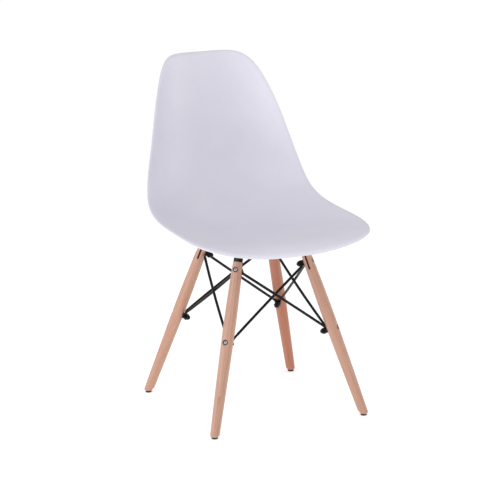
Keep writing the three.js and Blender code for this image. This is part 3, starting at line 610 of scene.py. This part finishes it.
def make_leg():
    length = model.box("leg_front_right")[1].z
    sizes = [(diameter / 2, share * length) for diameter, share in LEG_SIZES]
    steps = LEG_RINGS * (len(sizes) - 1)
    sides = [tuple(through(sizes, step / steps)) for step in range(steps)]
    top_radius = LEG_TOP_DIAMETER / 2
    rounding = arc((top_radius - LEG_TOP_ROUNDING, length - LEG_TOP_ROUNDING), LEG_TOP_ROUNDING, 0, 90, 4)
    below_floor = (LEG_FOOT_DIAMETER / 2, -LEG_FOOT_DIAMETER / 2)
    leg = lathe([(0, below_floor[1]), below_floor, *sides, *rounding, (0, length)], LEG_SIDES)

    # the foot is cut level with the floor, with a chamfer round it
    run = LEG_BELLY_DIAMETER
    rise = run * math.tan(math.radians(FOOT_CHAMFER_DEGREES))
    foot = lathe(
        [
            (0, 0),
            (FOOT_END_DIAMETER / 2, 0),
            (FOOT_END_DIAMETER / 2 + run, rise),
            (length, rise),
            (length, 2 * length),
            (0, 2 * length),
        ],
        LEG_SIDES,
    )
    stand = Matrix.Translation((-model.foot_level * math.tan(model.lean), 0, 0))
    stand = Matrix.Rotation(model.lean, 4, "Y") @ stand @ Matrix.Translation((0, 0, model.foot_level))
    carve(leg, moved(foot, stand), operation="INTERSECT")

    plate_low, plate_high = model.box("leg_bracket_front_right")
    kerf_half = plate_high.x + CLEARANCE
    kerf_bottom = plate_low.z - CLEARANCE
    past_sides = length / 8  # clear of the leg on either side of its axis
    past_top = length * 1.1
    kerf = box_cutter((-kerf_half, -2 * past_sides, kerf_bottom), (kerf_half, 2 * past_sides, past_top))
    bores = []
    for level in ("upper", "lower"):
        low, high = model.box(f"{level}_bolt_front_right")
        up = (low.z + high.z) / 2
        seat = high.x - BOLT_HEAD_HEIGHT - CLEARANCE
        onto_bolt = Matrix.Translation((0, 0, up)) @ POINT_OUT
        bores.append(moved(rod_cutter(BOLT_HOLE_DIAMETER / 2, -past_sides, past_sides), onto_bolt))
        bores.append(moved(rod_cutter(COUNTERBORE_DIAMETER / 2, seat, past_sides, 48), onto_bolt))
    carve(leg, kerf, *bores)
    soften(leg, LEG_EDGE_ROUNDING, 40)
    return leg


# ----------------------------------------------------------------------------------------------------------
# Fixings and glides, shared by the four legs
# ----------------------------------------------------------------------------------------------------------

GLIDE_EDGE_RADIUS = 1.6 * MM
GLIDE_SPIKE_RADIUS = 1.5 * MM
GLIDE_HOLLOW_DEPTH = 0.25 * MM  # under the middle of the disc
GLIDE_HOLLOW_SHARES = (0.5, 0.56)  # of the disc's radius: where the hollow ends and the sole begins
GLIDE_GROOVE = 0.35 * MM
SHANK_RADIUS = 3 * MM
SHANK_CHAMFER = 0.6 * MM
SCREW_HEAD_DIAMETER = 11 * MM
SCREW_HEAD_HEIGHT = 3.3 * MM
HEAD_FLAT_SHARE = 0.42  # of the head's radius
HEAD_RIM_SHARE = 0.35  # of the head's height
HEAD_EDGE = 0.3 * MM
UNDER_HEAD_FILLET = 0.25 * MM
UNDER_HEAD_SHARE = 0.15  # of the head's height, down the shank
SOCKET_ACROSS_FLATS = 4 * MM
SOCKET_DEPTH_SHARE = 0.8  # of the head's height
DRILL_POINT_SHARE = 0.25  # of the socket's width
BOLT_EDGE_ROUNDING = 0.15 * MM
NUT_HEX_HEIGHT = 6 * MM
NUT_ACROSS_FLATS = 14 * MM
NUT_CHAMFER = 0.9 * MM
NUT_CHAMFER_RISE = 0.6  # the chamfer's height as a share of its width
NUT_TOP_CHAMFER = 1.3  # the width of the one round the dome, as a share of the other's
NUT_CUT_PAST = 0.02 * MM
NUT_DOME_DIAMETER = 13 * MM
NUT_DOME_SUNK = 0.5 * MM  # how deep the dome starts in the hexagon
NUT_NECK_SHARE = 0.94  # of the dome's radius
NUT_BORE_SHARE = 0.66  # of the nut's height
NUT_EDGE_ROUNDING = 0.2 * MM
BRACKET_BEND_RADIUS = 5 * MM  # to the middle of the plate
BRACKET_TAB_LENGTH = 31 * MM
BRACKET_EDGE_ROUNDING = 0.4 * MM
WASHER_EDGE_SHARE = 0.45  # of half the thickness
INSERT_RIBS = 4
INSERT_CHAMFER = 0.6 * MM
INSERT_PLAIN_END = 0.8 * MM
INSERT_RIB_DEPTH = 0.5 * MM


def hex_cutter(across_flats, low, high):
    return rod_cutter(across_flats / math.sqrt(3), low, high, 6)


def make_glide():
    """A nail-on glide: a rounded disc with a raised rim line, and the nail that holds it."""
    foot_low, foot_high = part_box("foot_glide_front_right")
    radius = (foot_high.x - foot_low.x) / 2
    height = model.foot_level - CLEARANCE
    edge = GLIDE_EDGE_RADIUS
    groove = GLIDE_GROOVE
    hollow_end, sole_start = [radius * share for share in GLIDE_HOLLOW_SHARES]
    nail = foot_high.z
    glide = lathe(
        [
            (0, GLIDE_HOLLOW_DEPTH),
            (hollow_end, GLIDE_HOLLOW_DEPTH),
            (sole_start, 0),
            *arc((radius - edge, edge), edge, -90, 0, 6),
            # a fine groove round the disc, then its chamfered top
            (radius, height - 3 * groove),
            (radius - groove, height - 2.4 * groove),
            (radius, height - 1.8 * groove),
            (radius, height - groove),
            (radius - groove, height),
            (GLIDE_SPIKE_RADIUS, height),
            (GLIDE_SPIKE_RADIUS, nail - 2 * GLIDE_SPIKE_RADIUS),
            (0, nail),
        ]
    )
    smooth(glide, 32)
    return glide


def make_button_bolt(head_diameter, head_height, length):
    """A button-head bolt about +Z with its head's seat at zero: a domed head with a hexagon socket, and a
    plain shank with a chamfered tip."""
    radius = head_diameter / 2
    flat = radius * HEAD_FLAT_SHARE
    dome = [
        (
            flat + (radius - flat) * math.cos(a),
            head_height * (HEAD_RIM_SHARE + (1 - HEAD_RIM_SHARE) * math.sin(a)),
        )
        for a in (math.radians(15 * step) for step in range(7))
    ]
    bolt = lathe(
        [
            (0, -length),
            (SHANK_RADIUS - SHANK_CHAMFER, -length),
            (SHANK_RADIUS, -length + SHANK_CHAMFER),
            (SHANK_RADIUS, -head_height * UNDER_HEAD_SHARE),
            (SHANK_RADIUS + UNDER_HEAD_FILLET, 0),
            (radius - HEAD_EDGE, 0),
            (radius, HEAD_EDGE),
            *dome,
            (0, head_height),
        ]
    )
    socket = SOCKET_ACROSS_FLATS
    depth = head_height * SOCKET_DEPTH_SHARE
    bottom = head_height - depth
    drill_outline = [(0, bottom - socket * DRILL_POINT_SHARE), (socket / 2, bottom), (0, bottom + depth / 2)]
    drill_point = lathe(drill_outline, 24)
    carve(bolt, hex_cutter(socket, bottom, head_height + MM), drill_point)
    soften(bolt, BOLT_EDGE_ROUNDING, 40)
    return bolt


def make_cap_nut():
    """A domed cap nut about +Z with its face at zero: chamfered hexagon and a smooth dome."""
    low, high = model.box("lower_cap_nut_front_right")
    height = high.x - low.x
    across_corners = NUT_ACROSS_FLATS / math.cos(math.radians(30))
    nut = hex_cutter(NUT_ACROSS_FLATS, 0, NUT_HEX_HEIGHT)
    chamfer = NUT_CHAMFER
    chamfer_rise = chamfer * NUT_CHAMFER_RISE
    turned = lathe(
        [
            (0, -MM),
            (across_corners / 2 - chamfer, -MM),
            (across_corners / 2 - chamfer, 0),
            (across_corners / 2, chamfer_rise),
            (across_corners / 2, NUT_HEX_HEIGHT - chamfer_rise),
            (across_corners / 2 - chamfer * NUT_TOP_CHAMFER, NUT_HEX_HEIGHT + NUT_CUT_PAST),
            (0, NUT_HEX_HEIGHT + MM),
        ],
        60,
    )
    carve(nut, turned, operation="INTERSECT")
    radius = NUT_DOME_DIAMETER / 2
    base = NUT_HEX_HEIGHT - NUT_DOME_SUNK
    neck = radius * NUT_NECK_SHARE
    cap = lathe(
        [(0, base - 2 * MM), (neck, base - 2 * MM), (neck, base)]
        + [
            (radius * math.cos(a), base + (height - base) * math.sin(a))
            for a in (math.radians(9 * step) for step in range(10))
        ]
        + [(0, height)],
        60,
    )
    carve(nut, cap, operation="UNION")
    bore = rod_cutter(BOLT_HOLE_DIAMETER / 2, -MM, height * NUT_BORE_SHARE)
    carve(nut, bore)
    soften(nut, NUT_EDGE_ROUNDING, 35)
    return nut


def make_bracket():
    """A strip of plate bent once: it stands in the kerf, and its tab lies level under the seat."""
    low, high = model.box("leg_bracket_front_right")
    half = high.x
    thickness = 2 * half
    tab_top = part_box("leg_bracket_front_right")[1].z
    bend = math.pi / 2 - model.lean
    crease = (tab_top - half) / math.cos(model.lean)  # where the plate's and the tab's middles would meet
    bend_start = crease - BRACKET_BEND_RADIUS * math.tan(bend / 2)
    inwards = Vector((-math.cos(model.lean), math.sin(model.lean)))
    square = Vector((math.sin(model.lean), math.cos(model.lean)))
    tab_end = Vector((0, crease)) + inwards * BRACKET_TAB_LENGTH
    centre = (-BRACKET_BEND_RADIUS, bend_start)
    outline = [
        (half, low.z),
        *arc(centre, BRACKET_BEND_RADIUS + half, 0, math.degrees(bend), 12),
        tuple(tab_end + square * half),
        tuple(tab_end - square * half),
        *arc(centre, BRACKET_BEND_RADIUS - half, math.degrees(bend), 0, 12),
        (-half, low.z),
    ]
    width = high.y - low.y
    bracket = draw_outline([(x, -width / 2, z) for x, z in outline])
    bpy.ops.mesh.select_all(action="SELECT")
    bpy.ops.mesh.edge_face_add()
    bpy.ops.mesh.extrude_region_move(TRANSFORM_OT_translate={"value": (0, width, 0)})
    leave_edit()
    clean(bracket)

    bolt_low, bolt_high = model.box("upper_bolt_front_right")
    bolt_up = (bolt_low.z + bolt_high.z) / 2
    onto_bolt = Matrix.Translation((0, 0, bolt_up)) @ POINT_OUT
    bolt_hole = moved(rod_cutter(BOLT_HOLE_DIAMETER / 2, -width, width), onto_bolt)
    screw = local_screw_place(model)
    stand = Matrix.Translation(screw) @ Matrix.Rotation(model.lean, 4, "Y")
    screw_hole = moved(rod_cutter(BOLT_HOLE_DIAMETER / 2, -width, width), stand)
    carve(bracket, bolt_hole, screw_hole)
    soften(bracket, min(BRACKET_EDGE_ROUNDING, thickness / 5), 40)
    return bracket


def local_screw_place(leg):
    """The middle of a leg's seat screw, in the leg's frame."""
    return leg.matrix.inverted() @ middle_of(f"seat_washer_{leg.name}")


def flat_ring(radius, half, edge):
    """A flat ring about +Z with a bolt's hole, its outer edges rounded."""
    hole = BOLT_HOLE_DIAMETER / 2
    return lathe(
        [
            (hole, -half),
            *arc((radius - edge, -half + edge), edge, -90, 0, 3),
            *arc((radius - edge, half - edge), edge, 0, 90, 3),
            (hole, half),
            (hole, -half),
        ]
    )


def make_washer():
    low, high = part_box("seat_washer_front_right")
    half = (high.z - low.z) / 2
    washer = flat_ring((high.x - low.x) / 2, half, half * WASHER_EDGE_SHARE)
    smooth(washer, 40)
    return moved(washer, Matrix.Translation((0, 0, (low.z + high.z) / 2)))


def make_insert():
    """A threaded insert: a ribbed barrel with chamfered ends."""
    low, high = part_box("mount_insert_front_right")
    radius, height = (high.x - low.x) / 2, high.z - low.z
    hole = BOLT_HOLE_DIAMETER / 2
    pitch = (height - 2 * INSERT_PLAIN_END) / INSERT_RIBS
    outline = [(hole, 0), (radius - INSERT_CHAMFER, 0), (radius, INSERT_CHAMFER)]
    for rib in range(INSERT_RIBS):
        start = INSERT_PLAIN_END + rib * pitch
        outline += [
            (radius, start),
            (radius - INSERT_RIB_DEPTH, start + pitch * 0.35),
            (radius - INSERT_RIB_DEPTH, start + pitch * 0.65),
            (radius, start + pitch),
        ]
    outline += [(radius - INSERT_CHAMFER, height), (hole, height), (hole, 0)]
    insert = lathe(outline)
    smooth(insert, 30)
    return moved(insert, Matrix.Translation((0, 0, low.z)))


# ----------------------------------------------------------------------------------------------------------
# Seat mounts
# ----------------------------------------------------------------------------------------------------------


MOUNT_PRESS = 1.5 * MM  # how far the top starts above its pocket, before it meets the shell
MOUNT_SKIRT = 1.0 * MM
MOUNT_SKIRT_SETBACK = 0.2 * MM
MOUNT_GROOVE_DEPTH = 0.9 * MM
MOUNT_EDGE_ROUNDING = 0.3 * MM


def make_mount(leg, shell):
    """A ribbed rubber block whose top is pressed to the underside of the shell."""
    low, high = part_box(f"seat_mount_{leg.name}")
    insert_low, insert_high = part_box(f"mount_insert_{leg.name}")
    radius = (high.x - low.x) / 2
    pocket = (insert_high.x - insert_low.x) / 2 + CLEARANCE
    pocket_top = insert_high.z - low.z + CLEARANCE
    top = pocket_top + MOUNT_PRESS
    skirt = MOUNT_SKIRT
    skirt_radius = radius - MOUNT_SKIRT_SETBACK
    groove_radius = radius - MOUNT_GROOVE_DEPTH
    mount = lathe(
        [
            (pocket, 0),
            (radius - skirt, 0),
            (skirt_radius, skirt),
            (skirt_radius, 3 * skirt),
            (groove_radius, 3.6 * skirt),
            (groove_radius, 4.4 * skirt),
            (radius, 5 * skirt),
            (radius, top),
            *[(radius * share, top) for share in (0.75, 0.5, 0.25)],
            (0, top),
            (0, pocket_top),
            (pocket, pocket_top),
            (pocket, 0),
        ],
        64,
    )
    axis = middle_of(f"seat_screw_{leg.name}")
    moved(mount, Matrix.Translation((axis.x, axis.y, low.z)))
    group = mount.vertex_groups.new(name="top")
    level = low.z + top - 0.1 * MM
    group.add([v.index for v in mount.data.vertices if v.co.z > level], 1.0, "REPLACE")
    apply_modifier(
        mount,
        "SHRINKWRAP",
        target=shell,
        vertex_group="top",
        wrap_method="PROJECT",
        use_project_z=True,
        use_positive_direction=True,
        use_negative_direction=False,
        offset=-CLEARANCE,
    )
    soften(mount, MOUNT_EDGE_ROUNDING, 38)
    return mount


# ----------------------------------------------------------------------------------------------------------
# Rods between the legs
# ----------------------------------------------------------------------------------------------------------

BRACE_DIAMETER = 6.6 * MM
BRACE_EYE_DIAMETER = 14 * MM
BRACE_EYE_THICKNESS = 2.5 * MM
BRACE_EYE_EDGE = 0.5 * MM
BRACE_FLAT_SHARE = 0.46  # the flat's half thickness, as a share of the eye's whole, so that it lies inside
BRACE_FLAT_START = 5 * MM  # from the eye's middle
ROD_EDGE_ROUNDING = 0.35 * MM
BRACE_NECK_WIDTH = 8.6 * MM
BRACE_KNEE = 12 * MM  # from the eye's middle to the middle of the bend
BRACE_BEND_HALF = 4 * MM
BRACE_BEND_STEPS = 8
BRACE_SPAN_STEPS = 16
BRACE_SIDES = 24
BRACE_CROSSING_GAP = 0.6 * MM


def make_frame_rod(side):
    """A straight rod, its ends mitred to the brackets' inner faces."""
    low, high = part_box(f"frame_rod_{side}")
    size = high - low
    lengthwise = 0 if size.x > size.y else 1
    radius = size.z / 2
    turn = Matrix.Rotation(math.pi / 2, 4, "Y" if lengthwise == 0 else "X")
    rod = rod_cutter(radius, -size[lengthwise], size[lengthwise], 40)
    moved(rod, Matrix.Translation((low + high) / 2) @ turn)
    for corner in SIDES[side]:
        leg = legs[corner]
        inner_face = -(leg.box(f"leg_bracket_{corner}")[1].x + CLEARANCE)
        edit(rod)
        bpy.ops.mesh.select_all(action="SELECT")
        bpy.ops.mesh.bisect(
            plane_co=leg.matrix @ Vector((inner_face, 0, 0)),
            plane_no=leg.outwards,
            use_fill=True,
            clear_outer=True,
        )
        leave_edit()
    soften(rod, ROD_EDGE_ROUNDING, 40)
    return rod


def select_rings(piece, first, last):
    """In edit mode, selects whole rings of a brace by their count from its start."""
    select_points(piece, lambda v: first <= v.index // BRACE_SIDES <= last)


def brace_ends(side, part):
    """The eyes of a brace: the middle and the outward normal of each, the upper one first."""
    first, second = [legs[corner] for corner in SIDES[side]]
    if part == "inner":
        first, second = second, first
    eyes = []
    for leg, level in ((first, "upper"), (second, "lower")):
        nut_low, nut_high = leg.box(f"{level}_cap_nut_{leg.name}")
        up = (nut_low.z + nut_high.z) / 2
        behind = 0 if part == "inner" else 1  # eyes between this one and the nut
        across = nut_high.x + CLEARANCE + BRACE_EYE_THICKNESS / 2 + behind * (BRACE_EYE_THICKNESS + CLEARANCE)
        eyes.append((leg.matrix @ Vector((across, 0, up)), leg.outwards))
    return eyes


def brace_bow(side, part):
    """How far, and in which direction, the middle of a brace stands off so that the two can cross."""
    outer = [middle for middle, _ in brace_ends(side, "outer")]
    inner = [middle for middle, _ in brace_ends(side, "inner")]
    across = (outer[1] - outer[0]).cross(inner[1] - inner[0]).normalized()
    outwards = legs[SIDES[side][0]].outwards
    across *= 1 if across.dot(outwards) > 0 else -1
    apart = (BRACE_EYE_THICKNESS + CLEARANCE) * across.dot(outwards)
    bow = max(0.0, (BRACE_DIAMETER + BRACE_CROSSING_GAP - apart) / 2)
    return across * (bow if part == "outer" else -bow)


def bend_stations(tilt, length, onward):
    """Rings of a brace from its eye to the start of its span, in the plane of the bend, with the knee at the
    origin: the place of each, its tilt, and its half width and half thickness. onward is 1 at the start."""
    round_half = BRACE_DIAMETER / 2
    flat = (BRACE_NECK_WIDTH / 2, BRACE_EYE_THICKNESS * BRACE_FLAT_SHARE)
    towards_eye = Vector((-math.cos(tilt), 0, math.sin(tilt))) * onward
    span_way = Vector((onward, 0, 0))
    start, finish = towards_eye * BRACE_BEND_HALF, span_way * BRACE_BEND_HALF
    stations = [(towards_eye * (length - BRACE_FLAT_START), tilt, *flat)]
    for step in range(BRACE_BEND_STEPS + 1):
        share = step / BRACE_BEND_STEPS
        eased = share * share * (3 - 2 * share)
        place = start * (1 - share) ** 2 + finish * share**2
        way = (-start * (1 - share) + finish * share) * onward
        turned = math.atan2(-way.z, way.x)
        stations.append((place, turned, *(size + (round_half - size) * eased for size in flat)))
    return stations


def make_eye():
    return flat_ring(BRACE_EYE_DIAMETER / 2, BRACE_EYE_THICKNESS / 2, BRACE_EYE_EDGE)


def make_brace(side, part):
    """A round rod with flattened, drilled ends, bent so that each eye lies flat on its leg. It is modelled
    along +X with its upper bend at the origin and its upper eye facing +Z, then twisted and put in place."""
    (start, start_normal), (end, end_normal) = brace_ends(side, part)
    run = (end - start).normalized()
    for _ in range(4):  # the ends' directions and the span between the bends settle together
        start_knee = start + (run - run.project(start_normal)).normalized() * BRACE_KNEE
        end_knee = end - (run - run.project(end_normal)).normalized() * BRACE_KNEE
        run = (end_knee - start_knee).normalized()
    span = (end_knee - start_knee).length
    start_tilt = math.asin(start_normal.dot(run))
    end_tilt = math.asin(end_normal.dot(run))
    start_up = (start_normal - start_normal.project(run)).normalized()
    end_up = (end_normal - end_normal.project(run)).normalized()
    twist = math.atan2(start_up.cross(end_up).dot(run), start_up.dot(end_up))
    aside = start_up.cross(run)
    placed = Matrix.Translation(start_knee) @ Matrix((run, aside, start_up)).transposed().to_4x4()

    bow = placed.to_3x3().inverted() @ brace_bow(side, part)
    round_half = BRACE_DIAMETER / 2
    upper_end = bend_stations(start_tilt, BRACE_KNEE, 1)
    lower_end = [
        (place + Vector((span, 0, 0)), tilt, wide, thick)
        for place, tilt, wide, thick in bend_stations(end_tilt, BRACE_KNEE, -1)
    ]
    middle = []
    for step in range(1, BRACE_SPAN_STEPS):
        share = step / BRACE_SPAN_STEPS
        along = BRACE_BEND_HALF + share * (span - 2 * BRACE_BEND_HALF)
        middle.append((Vector((along, 0, 0)) + bow * 4 * share * (1 - share), 0.0, round_half, round_half))
    stations = upper_end + middle + lower_end[::-1]

    bpy.ops.object.select_all(action="DESELECT")
    bpy.ops.mesh.primitive_circle_add(vertices=BRACE_SIDES, fill_type="NGON", rotation=(0, math.pi / 2, 0))
    brace = bpy.context.object
    bpy.ops.object.transform_apply(location=False, rotation=True, scale=False)
    edit(brace)
    bpy.ops.mesh.select_all(action="SELECT")
    last_place, last_tilt, last_wide, last_thick = Vector(), 0.0, 1.0, 1.0
    for ring, (place, tilt, wide, thick) in enumerate(stations):
        if ring == 0:
            bpy.ops.transform.translate(value=place)
        else:
            bpy.ops.mesh.extrude_region_move(TRANSFORM_OT_translate={"value": place - last_place})
        turn_selected(-last_tilt, "Y", place)
        bpy.ops.transform.resize(value=(1, wide / last_wide, thick / last_thick), center_override=place)
        turn_selected(tilt, "Y", place)
        last_place, last_tilt, last_wide, last_thick = place, tilt, wide, thick
    select_rings(brace, len(stations) - len(lower_end), len(stations))
    turn_selected(twist, "X", (0, 0, 0))
    leave_edit()

    upper_eye = Matrix.Translation(Vector((-math.cos(start_tilt), 0, math.sin(start_tilt))) * BRACE_KNEE)
    lower_eye = Matrix.Translation(
        Vector((span, 0, 0)) + Vector((math.cos(end_tilt), 0, -math.sin(end_tilt))) * BRACE_KNEE
    )
    carve(
        brace,
        moved(make_eye(), upper_eye @ Matrix.Rotation(start_tilt, 4, "Y")),
        moved(make_eye(), Matrix.Rotation(twist, 4, "X") @ lower_eye @ Matrix.Rotation(end_tilt, 4, "Y")),
        operation="UNION",
    )
    clean(brace)
    smooth(brace, 35)
    return moved(brace, placed)


# ----------------------------------------------------------------------------------------------------------
# The chair
# ----------------------------------------------------------------------------------------------------------

shell_plastic = moulded_polypropylene()
coated_steel = powder_coated_steel()
nut_plate = black_zinc()
bolt_plate = bright_zinc()
glide_nylon = moulded_nylon()
mount_rubber = moulded_rubber()

shell = finish_piece(make_shell(), "shell", shell_plastic, "shell_plastic", "seat_shell")

wood = make_leg()
glide = make_glide()
bracket = make_bracket()
cap_nut = make_cap_nut()
washer = make_washer()
insert = make_insert()
bolts = {}
for level in ("upper", "lower"):
    bolt_low, bolt_high = model.box(f"{level}_bolt_front_right")
    reach = bolt_high.x - bolt_low.x - BOLT_HEAD_HEIGHT
    bolts[level] = make_button_bolt(BOLT_HEAD_DIAMETER, BOLT_HEAD_HEIGHT, reach)
screw_low, screw_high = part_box("seat_screw_front_right")
screw_reach = screw_high.z - screw_low.z - SCREW_HEAD_HEIGHT
seat_screw = make_button_bolt(SCREW_HEAD_DIAMETER, SCREW_HEAD_HEIGHT, screw_reach)
seat_screw_seat = screw_low.z + SCREW_HEAD_HEIGHT

for corner, leg in legs.items():
    foot_low, foot_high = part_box(f"foot_glide_{corner}")
    under_foot = Matrix.Translation(((foot_low.x + foot_high.x) / 2, (foot_low.y + foot_high.y) / 2, 0))
    copies = [
        (wood, leg.matrix, "turned_leg", lacquered_beech(leg), "beech", "leg"),
        (bracket, leg.matrix, "bent_bracket", coated_steel, "black_steel", "leg_bracket"),
        (glide, under_foot, "nailed_glide", glide_nylon, "glide_plastic", "foot_glide"),
    ]
    for level, bolt in bolts.items():
        head = leg.box(f"{level}_bolt_{corner}")[1]
        nut_low, nut_high = leg.box(f"{level}_cap_nut_{corner}")
        up = (nut_low.z + nut_high.z) / 2
        at_head = leg.matrix @ Matrix.Translation((head.x - BOLT_HEAD_HEIGHT, 0, up)) @ POINT_OUT
        at_nut = leg.matrix @ Matrix.Translation((nut_high.x, 0, up)) @ POINT_IN
        copies += [
            (bolt, at_head, f"{level}_leg_bolt", bolt_plate, "zinc_steel", f"{level}_bolt"),
            (cap_nut, at_nut, f"{level}_domed_nut", nut_plate, "black_steel", f"{level}_cap_nut"),
        ]
    axis = middle_of(f"seat_washer_{corner}")
    on_axis = Matrix.Translation((axis.x, axis.y, 0))
    at_screw = Matrix.Translation((axis.x, axis.y, seat_screw_seat)) @ Matrix.Rotation(math.pi, 4, "X")
    copies += [
        (washer, on_axis, "plain_washer", bolt_plate, "zinc_steel", "seat_washer"),
        (insert, on_axis, "threaded_insert", bolt_plate, "zinc_steel", "mount_insert"),
        (seat_screw, at_screw, "shell_screw", bolt_plate, "zinc_steel", "seat_screw"),
    ]
    for template, place, name, material, slot, node in copies:
        finish_piece(moved(copied(template), place), f"{name}_{corner}", material, slot, f"{node}_{corner}")
    finish_piece(
        make_mount(leg, shell), f"rubber_mount_{corner}", mount_rubber, "mount_rubber", f"seat_mount_{corner}"
    )

for side in SIDES:
    finish_piece(make_frame_rod(side), f"upper_rod_{side}", coated_steel, "black_steel", f"frame_rod_{side}")
    for part in ("outer", "inner"):
        name = f"brace_{side}_{part}"
        finish_piece(make_brace(side, part), f"crossed_{name}", coated_steel, "black_steel", name)

for template in (wood, glide, bracket, cap_nut, washer, insert, seat_screw, *bolts.values()):
    remove(template)

# ----------------------------------------------------------------------------------------------------------
# Floor and light
# ----------------------------------------------------------------------------------------------------------

FLOOR_SIZE = 60.0
SOFTBOX_AIM = (0, 0, 0.4)
SOFTBOX_SIZE = 1.4


def add_floor():
    bpy.ops.object.select_all(action="DESELECT")
    bpy.ops.mesh.primitive_plane_add(size=FLOOR_SIZE)
    floor = bpy.context.object
    floor.name = "studio_floor"
    material, _, shader = new_material("pale_studio_floor")
    shader.inputs["Base Color"].default_value = linear("f4f4f4")
    shader.inputs["Roughness"].default_value = 0.9
    shader.inputs["Emission Color"].default_value = linear("ffffff")
    shader.inputs["Emission Strength"].default_value = 0.40
    floor.data.materials.append(material)


def add_softbox(name, place, power):
    """A square area light that faces the chair."""
    bpy.ops.object.light_add(type="AREA", location=place)
    light = bpy.context.object
    light.name = name
    light.data.shape = "SQUARE"
    light.data.size = SOFTBOX_SIZE
    light.data.energy = power
    light.rotation_euler = (Vector(place) - Vector(SOFTBOX_AIM)).to_track_quat("Z", "Y").to_euler()


def add_studio_light():
    world = bpy.data.worlds.new("studio")
    world.use_nodes = True
    background = world.node_tree.nodes["Background"]
    background.inputs["Color"].default_value = (1, 1, 1, 1)
    background.inputs["Strength"].default_value = 0.66
    bpy.context.scene.world = world
    add_softbox("key_softbox", (-2.0, -1.6, 2.6), 14)
    add_softbox("left_softbox", (-3.2, -0.4, 0.9), 26)
    add_softbox("right_softbox", (3.0, -1.0, 1.4), 12)
    bpy.context.scene.view_settings.view_transform = "Standard"


add_floor()
add_studio_light()
